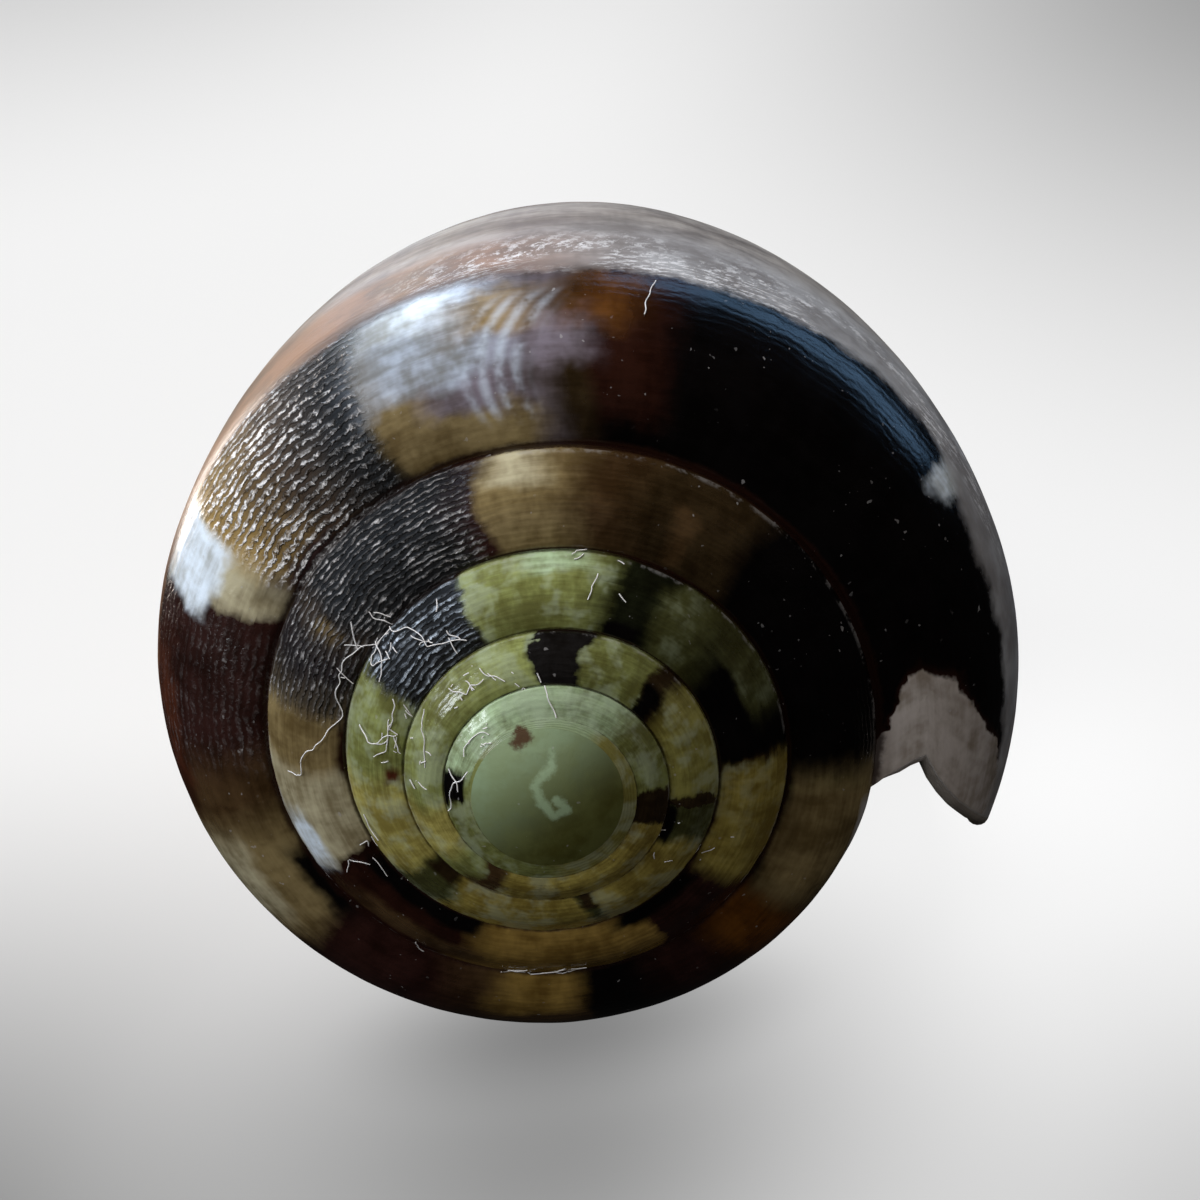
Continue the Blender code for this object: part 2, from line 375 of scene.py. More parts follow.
@node_group(FORM, "Outer skin", {
    **COIL, "Furrow": FURROW, "Swell": SWELL,
    "Growth wave": GROWTH_WAVE, "Rim": RIM}, {"Point": POINT})
def skin(raw, place, furrow, swell, wave, rim):
    turn = to_lip(raw, place)
    under_lip = raw.above(1.0) * place.above(1.0)
    # A seam is shared by two whorls, so both must sink by the same amount there.
    inner_seam = ramp(place, 0.035, 0.0) * ramp(raw, 0.0, 0.03)
    outer_seam = ramp(place, 0.97, 1.0) * ramp(raw, 1.0, 1.03) * (1.0 - under_lip)
    at_seam = inner_seam + outer_seam
    drop = (inner_seam * furrow_depth(raw + 1.0) + outer_seam * furrow_depth(raw)) * furrow
    arch = (place * math.pi).sin().at_least(0.0)
    swell = arch * arch * swell * ramp(raw, 0.5, 1.2) * ramp(raw, 3.0, 1.5)
    ripple = noise(join(raw * GROWTH_LINES, place * 1.1, 0.0), 1.0) - 0.5
    chips = noise(join(raw * CHIPS, raw.floor(), 3.0), 1.0, 3.0, 0.65)
    by_seam = ramp(place, 0.80, 0.93) * ramp(place, 0.985, 0.95) * ramp(raw, 0.98, 1.05)
    free = (1.0 - at_seam) * (1.0 - under_lip) * ramp(place, 2.0, 1.7)
    lift = (swell + ripple * wave * 2.0 + chips * by_seam * rim) * free
    r, z = outline(turn, place)
    r2, z2 = offset(turn, place, -lift)
    r2, z2 = mix(at_seam, r2, r), mix(at_seam, z2, z) - drop
    z2 = mix(ramp(raw + 1.0 - place, *CAP_TURNS), z2, cap_height(r2))
    return point_at(turn, r2, z2)


# %% [markdown]
# ## Inside the aperture
# Behind the lip the wall has an inner face. It keeps to the wall's thickness,
# and it closes on the body whorl a third of a turn back, out of sight. Where
# the wall meets the seam it thins to nothing.

# %% The inner face
WALL, WALL_AT_LIP = 0.12, 0.07
HOLLOW_FULL, HOLLOW_END = 0.05, 0.30
SLOT_TOP = 0.03
CLEARANCE = 0.022
DOWN = (0.0, 0.0, -1.0)


def slot_top(turn):
    """Share of the body's side where the aperture starts, a turn back from the lip."""
    return ramp(turn, 0.0, 0.04) * SLOT_TOP


@node_group(FORM, "Inner face", {
    **COIL, "Wall": WALL, "Wall at lip": WALL_AT_LIP,
    "Hollow full": HOLLOW_FULL, "Hollow end": HOLLOW_END}, {"Point": POINT})
def inner(raw, place, wall, wall_at_lip, hollow_full, hollow_end):
    turn = to_lip(raw, place)
    depth = mix(ramp(turn, -0.05, 0.15), wall_at_lip, wall) * ramp(place, 0.0, 0.12)
    r, z = offset(turn, place, depth)
    z = mix(ramp(place, 1.9, 2.0), z, -BODY_LENGTH)
    back = turn + 1.0
    top_r, top_z = outline(back, slot_top(raw) + 1.0)
    z = z.at_most(top_z)
    wide_z = widest(back)[1]
    body_r = outline(back, clamp((wide_z - z) / (wide_z + BODY_LENGTH)) + 1.0)[0]
    r = body_r + (r - body_r).at_least(CLEARANCE) * ramp(raw, hollow_end, hollow_full)
    below_seam = ramp(place, 0.0, 0.10)
    return point_at(turn, mix(below_seam, top_r, r), mix(below_seam, top_z, z))


@node_group(FORM, "Rounded edge", {
    "One": ORIGIN, "Two": ORIGIN, "Share": 0.0, "Way": DOWN, "Strength": 1.0}, {"Point": POINT})
def rounded(one, two, share, way, strength):
    """A half-round edge from one point to another, swelling in a direction."""
    angle = share * math.pi
    across = vector("SUBTRACT", two, one)
    middle = vector("SCALE", across, (1.0 - angle.cos()) * 0.5)
    half = vector("LENGTH", across) * 0.5 * strength
    out = vector("SCALE", way, angle.sin() * half)
    return vector("ADD", vector("ADD", one, middle), out)


# %% [markdown]
# ## Strips of mesh
# Each stretch of the shell is a grid whose columns follow the turns and whose
# rows run across. A grid's own points give both shares, the formulas put the
# points in place, and the turn and place are stored as a UV map called "coil",
# which the colours use. Columns are numbered alike on every strip, so
# neighbours share their edge points and can be merged.

# %% Grids, their rows, and the way they are placed
COLUMNS = 340
SHOULDER_ROWS, BODY_ROWS = 22, 44
RIM_COLUMNS = 8
END_ROWS, TIP_ROWS = 5, 5
DOME_ROWS = 9
END_ROUNDING = 0.14
CROWDING = 0.75               # how much the rows crowd towards both seams
INSIDE = 10.0                 # added to the place on the inner face


def strip(tree, columns, rows):
    """A grid, its two shares from 0 to 1, and nothing placed yet."""
    mesh = add(tree, "GeometryNodeMeshGrid", ("Vertices X", columns + 1), ("Vertices Y", rows + 1))
    x, y, _ = split(add(tree, "GeometryNodeInputPosition"))
    return mesh, x + 0.5, y + 0.5


def then(mesh, node, *inputs, **settings):
    """Pass a mesh or a curve on through one more geometry node."""
    return add(mesh.tree, "GeometryNode" + node, (0, mesh), *inputs, **settings)


def placed(mesh, point, turn, place, flip=False):
    """Store the coil coordinates, then move the grid's points to the shell."""
    mesh = then(mesh, "StoreNamedAttribute", ("Name", "coil"), ("Value", join(turn, place, 0.0)),
                data_type="FLOAT2", domain="CORNER")
    mesh = then(mesh, "SetPosition", ("Position", point))
    return then(mesh, "FlipFaces") if flip else mesh


def whole(turns):
    return round(turns * COLUMNS)


def closer_at_ends(share):
    return share - (share * math.tau).sin() * (CROWDING / math.tau)


def body_place(share):
    return share.calc("POWER", 1.25) + 1.0


def both_rows(share):
    """Rows that match the shoulder strip first and the body strip after it."""
    rows = share * (SHOULDER_ROWS + BODY_ROWS)
    upper = closer_at_ends(clamp(rows / SHOULDER_ROWS))
    lower = body_place(clamp((rows - SHOULDER_ROWS) / BODY_ROWS))
    return mix((rows - (SHOULDER_ROWS + 0.5)).above(0.0), upper, lower)


print("columns in the whole coil:", whole(NUCLEUS_TURN))

# %% Strips outside
# Every strip is made from the tree and the wall's thickness, though only those
# at the aperture need the wall.
def shoulder_strip(tree, wall):
    mesh, x, y = strip(tree, whole(NUCLEUS_TURN), SHOULDER_ROWS)
    turn, place = x * NUCLEUS_TURN, closer_at_ends(y)
    return placed(mesh, skin(turn, place), turn, place, flip=True)


def body_strip(tree, wall):
    length = 1.0 + HOLLOW_END
    mesh, x, y = strip(tree, whole(length), BODY_ROWS)
    turn = x * length
    start = slot_top(turn - 1.0)
    place = (body_place(y) - 1.0) * (1.0 - start) + start + 1.0
    return placed(mesh, skin(turn, place), turn, place, flip=True)


def dome_strip(tree, wall):
    mesh, x, y = strip(tree, COLUMNS, DOME_ROWS)
    turn = x + (NUCLEUS_TURN - 1.0)
    radius = seam(NUCLEUS_TURN, tree=tree)[0] * (1.0 - y)
    return placed(mesh, point_at(turn, radius, cap_height(radius)), turn + 1.0, -y)


print("rows on the shoulder, the body and the cap:", SHOULDER_ROWS, BODY_ROWS, DOME_ROWS)

# %% Strips at the aperture and the front end
def inner_strip(tree, wall):
    mesh, x, y = strip(tree, whole(HOLLOW_END), SHOULDER_ROWS + BODY_ROWS)
    turn, place = x * HOLLOW_END, both_rows(y)
    return placed(mesh, inner(turn, place, wall), turn, place + INSIDE)


def lip_strip(tree, wall):
    mesh, x, y = strip(tree, RIM_COLUMNS, SHOULDER_ROWS + BODY_ROWS)
    place = both_rows(y)
    angle = to_lip(0.0, place) * math.tau + LIP_ANGLE
    ahead = join(angle.sin(), -angle.cos(), 0.0)
    point = rounded(skin(0.0, place), inner(0.0, place, wall), x, ahead)
    return placed(mesh, point, 0.0, place + x * INSIDE)


def front_strip(tree, wall):
    mesh, x, y = strip(tree, whole(HOLLOW_END), END_ROWS)
    turn = x * HOLLOW_END
    point = rounded(skin(turn, 2.0), inner(turn, 2.0, wall), y, DOWN, ramp(x, 1.0, 0.8))
    return placed(mesh, point, turn, y * INSIDE + 2.0, flip=True)


def tip_strip(tree, wall):
    mesh, x, y = strip(tree, COLUMNS, END_ROWS + TIP_ROWS)
    turn = x + HOLLOW_END
    ring_r, ring_z = outline(to_lip(turn, 2.0), 2.0)
    core_r = outline(1.0 + HOLLOW_END, 2.0, tree=tree)[0]
    rows = y * (END_ROWS + TIP_ROWS)
    upper = clamp(rows / END_ROWS) * math.pi
    lower = clamp((rows - END_ROWS) / TIP_ROWS) * (math.pi / 2.0)
    share = (1.0 - upper.cos()) * 0.5
    sag = upper.sin() * (ring_r - core_r) * 0.5 * ramp(x, 0.0, 0.1)
    radius = mix(share, ring_r, core_r) * lower.cos()
    height = ring_z - sag - lower.sin() * END_ROUNDING
    return placed(mesh, point_at(turn, radius, height), turn, y * 0.05 + 2.0, flip=True)


print("rows inside:", SHOULDER_ROWS + BODY_ROWS, "and columns round the lip's edge:", RIM_COLUMNS)

# %% [markdown]
# The strips are joined, laid down the way an empty shell comes to rest, and
# welded. The numbers for the rest say how far the shell is spun about its axis,
# how much its axis slopes, and where it lies on the floor.

# %% The tree that builds the shell
REST_DOWN = math.radians(-80.29)
REST_SLOPE = math.radians(11.61)
REST_MOVE = (-0.0014602, -0.019725, 0.0133128)
STRIPS = (shoulder_strip, body_strip, inner_strip, lip_strip, front_strip, tip_strip, dome_strip)


def laid_down(mesh, unit):
    """Scale to metres, spin about the axis, tip on to the side, and set down."""
    mesh = then(mesh, "Transform", ("Scale", join(unit, unit, unit)),
                ("Rotation", (0.0, 0.0, -math.pi / 2.0 - REST_DOWN)))
    return then(mesh, "Transform", ("Translation", REST_MOVE),
                ("Rotation", (math.pi / 2.0 - REST_SLOPE, 0.0, 0.0)))


def finished(mesh, material):
    """The end of every tree: shade smooth, realize instances, set the material."""
    mesh = then(then(mesh, "SetShadeSmooth"), "RealizeInstances")
    return then(mesh, "SetMaterial", ("Material", material))


@node_group(FORM, "Cone shell", {
    "Unit": UNIT, "Wall": WALL, "Weld distance": 0.0000004, "Material": MATERIAL}, {"Geometry": GEOMETRY})
def cone_shell(unit, wall, weld_distance, material):
    strips = [(0, make(unit.tree, wall)) for make in STRIPS]
    mesh = laid_down(add(unit.tree, "GeometryNodeJoinGeometry", *strips), unit)
    return finished(then(mesh, "MergeByDistance", ("Distance", weld_distance)), material)


# %% [markdown]
# The modifier's inputs are set by the identifiers of the sockets, and the
# result is turned into a plain mesh. A few slits are left where the wall closes
# on the body deep inside; each is a loop of open edges, and is filled.

# %% From the tree to a plain mesh
SLIVER = 0.000002


def plain_mesh(name, tree, start=None, **values):
    """Run a tree on an object and keep the result as an ordinary mesh."""
    obj = bpy.data.objects.new(name, start or bpy.data.meshes.new(name))
    bpy.context.scene.collection.objects.link(obj)
    modifier = obj.modifiers.new(name, "NODES")
    modifier.node_group = tree
    for item in tree.interface.items_tree:
        if item.item_type == "SOCKET" and item.in_out == "INPUT" and item.name in values:
            modifier[item.identifier] = values[item.name]
    graph = bpy.context.evaluated_depsgraph_get()
    mesh = bpy.data.meshes.new_from_object(obj.evaluated_get(graph), depsgraph=graph)
    obj.modifiers.remove(modifier)
    obj.data = mesh
    return obj


def close_slits(obj):
    """Melt slivers, pull together sheets that touch along an edge, fill what is open."""
    bm = bmesh.new()
    bm.from_mesh(obj.data)
    bmesh.ops.dissolve_degenerate(bm, dist=SLIVER, edges=bm.edges)
    crossed = [e for e in bm.edges if len(e.link_faces) > 2]
    bmesh.ops.collapse(bm, edges=crossed, uvs=False)
    open_edges = [e for e in bm.edges if e.is_boundary]
    filled = bmesh.ops.holes_fill(bm, edges=open_edges, sides=0)["faces"]
    bmesh.ops.triangulate(bm, faces=filled)
    left = sum(1 for e in bm.edges if not e.is_manifold)
    triangles = sum(len(f.verts) - 2 for f in bm.faces)
    bm.to_mesh(obj.data)
    bm.free()
    print("open edges", len(open_edges), "filled with", len(filled), "faces;",
          left, "edges not shared by two faces;", triangles, "triangles")


shell_skin = bpy.data.materials.new("glazed shell")
shell = plain_mesh("shell_wall", cone_shell.group, Material=shell_skin)
close_slits(shell)

# %% [markdown]
# ## Finish of the shell
# The colours of a cone shell are laid down at the lip as it grows, so they
# follow the turns: dark and pale blotches, one after another. Each whorl gets
# one Color Ramp along its turn, and single spots are added on top; two of those
# spots are a painted highlight. An image could hold them too, but ramps stay
# sharp from close by. Their edges are ragged, because each fine thread of the
# shell stopped at its own moment.

# %% Names for the paints
def linear(c):
    """A screen value from 0 to 255 as an amount of light."""
    c /= 255.0
    return c / 12.92 if c <= 0.04045 else ((c + 0.055) / 1.055) ** 2.4


PAINTS = {
    "black": (7, 5, 5), "soot": (24, 22, 22), "pitch": (22, 24, 13), "coffee": (46, 35, 20),
    "chestnut": (38, 18, 12), "maroon": (46, 25, 22), "rust": (72, 36, 22), "umber": (72, 54, 34),
    "bark": (148, 102, 66), "amber": (96, 58, 18), "gold": (138, 112, 58), "tan": (128, 112, 78),
    "sand": (176, 160, 142), "cream": (172, 164, 138), "stone": (104, 94, 88), "dust": (178, 175, 175),
    "taupe": (182, 178, 178), "lip": (184, 176, 174), "chalk": (236, 232, 232), "lilac": (112, 104, 116),
    "mist": (166, 176, 196), "ice": (214, 226, 242), "haze": (160, 170, 150), "mint": (172, 196, 160),
    "jade": (146, 166, 132), "sage": (134, 142, 86), "pear": (178, 170, 98), "straw": (156, 142, 74),
    "olive": (132, 128, 70), "fern": (116, 122, 72), "cap_shade_olive": (78, 76, 34), "moss": (68, 70, 40),
}
PAINTS = {name: (*map(linear, levels), 1.0) for name, levels in PAINTS.items()}
print(len(PAINTS), "paints, the darkest reflecting", round(min(p[0] for p in PAINTS.values()), 4))

# %% Mixes and bands of colour
def blend(share, one, two, way="MIX"):
    """Colour one where the share is 0, colour two where it is 1. A paint can go by its name."""
    one, two = (PAINTS[c] if isinstance(c, str) else c for c in (one, two))
    return add(share.tree, "ShaderNodeMix", (0, share), (6, one), (7, two), out=2,
               data_type="RGBA", blend_type=way)


def bands(along, *marks):
    """Color Ramp from (start, paint, softness of the edge) marks."""
    colour = add(along.tree, "ShaderNodeValToRGB", (0, along))
    stops = colour.source.node.color_ramp.elements
    stops[0].position, stops[0].color = 0.0, PAINTS[marks[0][1]]
    stops[1].position, stops[1].color = 1.0, PAINTS[marks[-1][1]]
    for (_, before, _), (start, after, soft) in zip(marks, marks[1:]):
        stops.new(start - soft / 2.0).color = PAINTS[before]
        stops.new(start + soft / 2.0).color = PAINTS[after]
    return colour


print("a blend takes colours, or the names of paints:", ", ".join(PAINTS))

# %% Patches with ragged edges
@node_group(LOOK, "Patch", {
    **COIL, "From turn": 0.0, "To turn": 0.1, "From place": 0.0,
    "To place": 1.0, "Soft": 0.01, "Soft place": 0.06}, {"Mask": FLOAT})
def patch(turn, place, start, end, low, high, soft, wide):
    """Mask of a soft-edged oblong in turns and places."""
    mask = ramp(turn, start - soft, start + soft) * ramp(turn, end + soft, end - soft)
    return mask * ramp(place, low - wide, low + wide) * ramp(place, high + wide, high - wide)


@node_group(LOOK, "Ragged turns", {
    **COIL, "Where": ORIGIN, "Threads": 14.0,
    "Thread step": 0.0022, "Waver": 0.018}, {"Turn": FLOAT, "Place": FLOAT})
def ragged(turn, place, where, threads, thread_step, waver):
    """Turn and place, pushed about so that the edge of a blotch is ragged."""
    size = ((turn - 1.0) * 0.31).exp().at_most(2.6)
    row = join((place * threads).floor(), turn.floor(), 0.0)
    cell = add(row.tree, "ShaderNodeTexWhiteNoise", ("Vector", row), out="Value", noise_dimensions="2D")
    far = noise(where, 300.0) - 0.5
    near = noise(where, 1400.0, 3.0, 0.65) - 0.5
    moved = (far + near * 0.6) * waver + (cell - 0.5) * thread_step
    return turn + moved * size, place + (noise(where, 600.0, 3.0, 0.6) - 0.5) * 0.3


# %% [markdown]
# The last whorl is read from the lip backwards: a pale lip, a long black
# stretch, cream, then dark and golden stretches by turns. The older whorls get
# greener and paler towards the apex.

# %% Colours of the whorls
SHARP, SOFT, HAZY = 0.005, 0.014, 0.034     # softness of an edge, in turns
WHORLS = (
    # the turn within the whorl where a paint starts, the paint, how soft its edge is
    ((0, "black", 0), (0.246, "chestnut", HAZY), (0.258, "coffee", HAZY), (0.286, "lilac", HAZY),
     (0.337, "tan", SOFT), (0.36, "soot", SHARP), (0.39, "umber", HAZY), (0.424, "gold", HAZY),
     (0.45, "cream", SOFT), (0.474, "maroon", SHARP), (0.558, "umber", HAZY), (0.586, "tan", HAZY),
     (0.652, "maroon", SOFT), (0.735, "umber", HAZY), (0.803, "black", SHARP)),
    ((0, "moss", 0), (0.012, "black", SHARP), (0.165, "coffee", SOFT), (0.24, "umber", HAZY),
     (0.268, "tan", HAZY), (0.324, "maroon", SHARP), (0.345, "soot", SOFT), (0.44, "umber", SOFT),
     (0.458, "maroon", SOFT), (0.492, "tan", HAZY), (0.546, "cream", SOFT), (0.614, "chestnut", SHARP),
     (0.728, "gold", HAZY), (0.864, "maroon", SHARP)),
    ((0, "olive", 0), (0.034, "chestnut", SHARP), (0.042, "black", SHARP), (0.138, "moss", HAZY),
     (0.19, "pitch", SOFT), (0.246, "sage", HAZY), (0.354, "soot", SHARP), (0.452, "sage", SOFT),
     (0.54, "pear", HAZY), (0.642, "moss", SOFT), (0.68, "straw", SOFT), (0.824, "moss", SHARP),
     (0.838, "straw", SHARP), (0.96, "moss", SOFT)),
    ((0, "coffee", 0), (0.018, "olive", SHARP), (0.134, "coffee", SOFT), (0.162, "fern", SHARP),
     (0.246, "soot", SHARP), (0.304, "sage", SHARP), (0.56, "pear", HAZY), (0.64, "sage", HAZY),
     (0.684, "umber", SOFT), (0.716, "straw", SOFT), (0.975, "coffee", SHARP)),
    ((0, "coffee", 0), (0.04, "fern", SHARP), (0.15, "jade", HAZY), (0.37, "mint", HAZY),
     (0.5, "fern", HAZY), (0.8, "olive", HAZY)),
    ((0, "olive", 0), (0.18, "jade", HAZY), (0.4, "sage", HAZY), (0.6, "fern", HAZY)),
)
SPOTS = (
    # from turn, to turn, from place, to place, softness in turns, paint
    (0.11, 0.121, 0.6, 0.85, 0.003, "ice"), (0.2, 0.262, -0.3, 0.13, 0.01, "black"),
    (0.264, 0.292, 0.38, 0.6, 0.01, "lilac"), (0.252, 0.27, 0.54, 0.84, 0.014, "amber"),
    # The spots from turn 0.303 and 0.322 on the cream stretch are a painted highlight: a wide bluish haze
    # with a bright core.
    (0.286, 0.352, -0.1, 0.2, 0.01, "tan"), (0.303, 0.356, 0.36, 0.95, 0.018, "mist"),
    (0.322, 0.352, 0.66, 0.92, 0.014, "ice"), (0.292, 0.318, 0.54, 0.78, 0.018, "gold"),
    (0.505, 0.57, 0.6, 1.2, 0.02, "rust"), (0.446, 0.481, 0.42, 0.9, 0.004, "ice"),
    (0.4, 0.45, -0.3, 0.14, 0.012, "maroon"), (0.6, 0.655, -0.3, 0.13, 0.01, "black"),
    (0.592, 0.64, 0.38, 0.75, 0.012, "cream"), (0.752, 0.798, -0.1, 0.4, 0.012, "gold"),
    (0.845, 0.88, -0.3, 1.0, 0.016, "maroon"), (0.885, 0.925, -0.3, 1.0, 0.016, "amber"),
    (0.93, 1.012, 0.05, 1.0, 0.016, "tan"), (1.195, 1.206, 0.1, 0.6, 0.005, "umber"),
    (1.286, 1.316, 0.62, 1.0, 0.012, "cream"), (1.442, 1.452, 0.3, 0.65, 0.004, "gold"),
    (1.5, 1.545, -0.3, 0.1, 0.01, "chestnut"), (1.576, 1.61, 0.6, 0.92, 0.01, "ice"),
    (1.618, 1.725, -0.3, 0.24, 0.01, "black"), (1.64, 1.73, 0.45, 0.8, 0.02, "umber"),
    (1.836, 1.925, -0.3, 0.2, 0.01, "black"), (1.932, 2.034, 0.05, 1.2, 0.01, "straw"),
    (2.194, 2.236, -0.3, 0.22, 0.006, "black"), (2.075, 2.135, 0.5, 1.2, 0.02, "moss"),
    (2.255, 2.3, 0.74, 1.1, 0.014, "mint"), (2.644, 2.674, -0.3, 0.3, 0.006, "coffee"),
    (2.522, 2.538, 0.1, 0.3, 0.006, "rust"), (2.82, 2.838, -0.3, 0.35, 0.006, "coffee"),
    (2.953, 3.0, -0.3, 0.2, 0.006, "black"), (3.137, 3.16, -0.3, 0.55, 0.006, "black"),
    (4.49, 4.552, 0.25, 1.2, 0.009, "black"),
)
LIP_FRINGE = (
    # place, and the turn at which the pale lip gives way to black there
    (0.0, 0.022), (0.1, 0.04), (0.2, 0.047), (0.3, 0.049), (0.42, 0.043), (0.52, 0.035),
    (0.6, 0.026), (0.66, 0.023), (0.74, 0.026), (0.82, 0.05), (1.0, 0.06),
)
FRINGE_SPAN = 0.1
print(sum(map(len, WHORLS)), "bands and", len(SPOTS), "spots; the longest ramp takes",
      2 * max(map(len, WHORLS)), "of the 32 stops that a Color Ramp can have")

# %% One group for all the bands and spots
@node_group(LOOK, "Whorl colours", {**COIL, "Bow": 0.045}, {"Color": COLOUR})
def whorl_colours(turn, place, bow):
    off = place - 0.5
    bowed = turn + off * off * bow
    colour = None
    for whorl, marks in enumerate(WHORLS):
        paints = bands(bowed - float(whorl), *marks)
        older = turn.above(float(whorl))
        colour = paints if colour is None else blend(older, colour, paints)
    for *bounds, soft, paint in SPOTS:
        colour = blend(patch(turn, place, *bounds, soft), colour, paint)
    fringe = through_points(place, [(p, t / FRINGE_SPAN) for p, t in LIP_FRINGE]) * FRINGE_SPAN
    edge = turn - fringe
    colour = blend(ramp(edge, 0.006, 0.0), colour, "chestnut")
    return blend(ramp(edge, 0.001, -0.002), colour, "lip")


# %% [markdown]
# Fine threads wind round every whorl and growth lines cross them, so the dark
# parts look beaded. The beads are far smaller than a face of the mesh, so they
# are bump: a height that only tilts the light. Each thread is a sine wave
# across the whorl, made uneven by noise, and the wrinkles between beads are the
# places where a stretched noise passes through its middle value.

# %% Threads and beads
THREAD_SHRINK = -0.36         # how fast threads and beads shrink, turn by turn


@node_group(LOOK, "Threads and beads", {
    **COIL, "Where": ORIGIN, "Threads": 18.0, "Beads in a turn": 270.0},
    {"Threads": FLOAT, "Beads": FLOAT, "Crests": FLOAT})
def threads_and_beads(turn, place, where, count, beads_in_turn):
    sway = noise(where, 1100.0) - 0.5
    grain = noise(where, 5000.0, 3.0, 0.7)
    shrink = ((turn - 1.0) * THREAD_SHRINK).exp()
    row = place * count * shrink + sway * 1.6 + (grain - 0.5) * 0.8
    ridge = ((row * math.tau).sin() + 1.0) * 0.5
    broken = noise(join(turn * 120.0, row * 0.5, 0.0), 1.0, 3.0, 0.6)
    along = turn * beads_in_turn * shrink * 0.5
    folds = noise(join(along, row * 0.9, 3.0), 1.0, 2.0, 0.6)
    crinkle = ramp((folds - 0.5).magnitude(), 0.09, 0.0)
    top = ramp(ridge + (crinkle - 0.5) * 0.3, 0.25, 0.80)
    level = ramp(broken * 0.6 + grain * 0.8, 0.58, 0.92)
    return (ridge * (broken * 1.2 + 0.1), top * (crinkle * 0.5 + 0.5) + grain * 0.35,
            top * (crinkle * 0.8 + 0.2) * (level * 1.35 + 0.06))


# %% [markdown]
# ## The glazed shell
# The material starts with the turn and place from the "coil" UV map, and with
# the place in space. A noise's scale is its number of lumps in a metre, or in a
# turn where it follows the coil. Within each blotch, growth streaks run across
# and threads along, and both shade the colour.

# %% Blotches and mottle
LUMPS, CLOUDS = 900.0, 330.0
MOTTLE_DARK, MOTTLE_PALE = (0.48, 0.42, 0.33, 1.0), (1.18, 1.16, 1.12, 1.0)
BLOOM = 0.38                  # share of the pale bloom on the small old whorls

shell_skin.use_nodes = True
tree = shell_skin.node_tree
surface = tree.nodes["Principled BSDF"]
turn, place, _ = split(add(tree, "ShaderNodeUVMap", uv_map="coil"))
where = add(tree, "ShaderNodeTexCoord", out="Object")
ragged_turn, ragged_place = ragged(turn, place, where)
colour = whorl_colours(ragged_turn, ragged_place)


def coil_noise(across, along, seed, detail, rough):
    """Noise with so many lumps across the growth, and so many from seam to widest line."""
    return noise(join(turn * across, place * along, seed), 1.0, detail, rough)


mottle = noise(where, LUMPS, 3.0, 0.65)
cloud = noise(where, CLOUDS, 3.0, 0.6)
streak = coil_noise(60.0, 2.0, 0.0, 3.0, 0.65)
lines = coil_noise(24.0, 22.0, 4.0, 3.0, 0.6)
shade = ramp(cloud * 0.35 + mottle * 0.25 + streak * 0.25 + lines * 0.15, 0.40, 0.60)
shade = mix(ramp(turn, 4.6, 5.3) * 0.75, shade, 0.6)
tint = blend(shade, MOTTLE_DARK, MOTTLE_PALE)
colour = blend(turn * 0.0 + 1.0, colour, tint, "MULTIPLY")


def brightness(colour):
    return add(colour.tree, "ShaderNodeRGBToBW", (0, colour))


bloom = ramp(mottle, 0.46, 0.64) * ramp(turn, 1.9, 2.1) * ramp(brightness(colour), 0.02, 0.12)
colour = blend(bloom * BLOOM, colour, "haze")
print("blotches, mottle and bloom:", len(tree.nodes), "nodes")

# %% [markdown]
# Each seam is painted as a dark line, and outside it stands a pale rim with chips in it.
# On the old whorls the line is fainter, because they are worn. Low on the
# second whorl, the rim is paler. In a ramp, the two numbers are where the mask
# is 0 and where it is 1, so a line is the product of a rising and a falling one.

# %% Seams and their rims
SEAM_DARKNESS, RIM_PALE, LOW_RIM_PALE = 0.85, 0.22, 0.4
chips = noise(where, 1900.0, 3.0, 0.7)
on_spire = ramp(turn, 0.97, 1.03)
uneven = place + (chips - 0.5) * 0.05
seam_line = ramp(uneven, 0.045, 0.012) + ramp(uneven, 0.965, 0.985) * on_spire
seam_line = clamp(seam_line * ramp(place, 1.001, 1.0) * ramp(turn, 5.6, 4.9))
rim = ramp(place, 0.90, 0.945) * ramp(place, 0.975, 0.955) * on_spire * ramp(chips, 0.45, 0.62)
low_rim = ramp(turn, 1.50, 1.62) * ramp(turn, 2.0, 1.9)
colour = blend(rim * (low_rim * LOW_RIM_PALE + RIM_PALE), colour, "taupe")
faint = SEAM_DARKNESS - ramp(turn, 1.6, 3.0) * (ramp(chips, 0.40, 0.60) * 0.4 + 0.25)
colour = blend(seam_line * faint, colour, "chestnut")
print("with the seams:", len(tree.nodes), "nodes")

# %% [markdown]
# The cap at the apex is smooth. Its colour is painted light: pale green on the
# side towards the light, olive on the shaded side, with a little mottle. It
# carries a chalky squiggle and a rusty spot. Each is drawn as short lines in
# space, and the mask is the distance to the nearest line.

# %% The smooth cap and its marks
MM = 0.001
CAP_TIP = Vector((-0.00146, -0.02538, 0.01448))
CAP_LIGHT_WAY = (-0.47, 0.47, 0.75)
CAP_RADIUS = 0.0022
CHALK_MARK = ((0.5, 1.8), (0.38, 1.17), (-0.27, 0.7), (-0.15, 0.17), (0.15, -0.35), (0.6, -0.2), (0.35, 0.12))
CHALK_MARK = [tuple(CAP_TIP + Vector((x, 0.3 * z, z)) * MM) for x, z in CHALK_MARK]
RUST_MARK = [tuple(CAP_TIP + Vector(mark) * MM) for mark in ((-0.52, 1.0, 1.9), (-0.42, 1.05, 2.02))]


